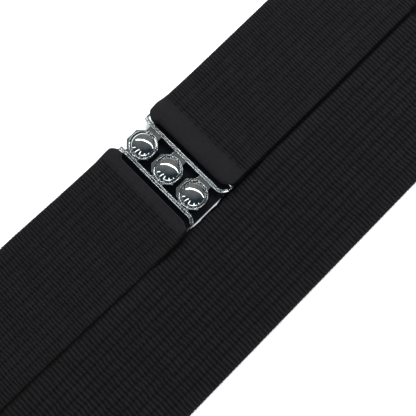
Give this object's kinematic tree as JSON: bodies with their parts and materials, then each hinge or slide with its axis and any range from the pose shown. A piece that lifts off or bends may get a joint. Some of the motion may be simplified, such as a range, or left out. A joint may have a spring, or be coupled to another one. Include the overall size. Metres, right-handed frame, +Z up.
{
  "type": "square dance belt",
  "caption": "Wide woven elastic waist belt with an interlocking chrome clasp of domed studs, fastened and laid with its front and back halves side by side.",
  "frame": {"origin": "on the floor the belt lies on, level with the middle of the clasp and halfway across the two halves", "axes": "+X along the belt, from the catch plate to the stud plate; +Y across the belt, from the back half to the front half; +Z up, away from the floor"},
  "size_m": [0.4404, 0.0974, 0.0508],
  "materials": {
    "woven_elastic": "matte ribbed weave",
    "flap_cloth": "matte weave",
    "chrome": "bright polished plating"
  },
  "bodies": {
    "root": {"elastic_webbing": "woven_elastic", "guard_flap": "flap_cloth", "stud_plate": "chrome", "catch_plate": "chrome", "stud_knob_lower": "chrome", "stud_knob_middle": "chrome", "stud_knob_upper": "chrome"}
  },
  "joints": []
}
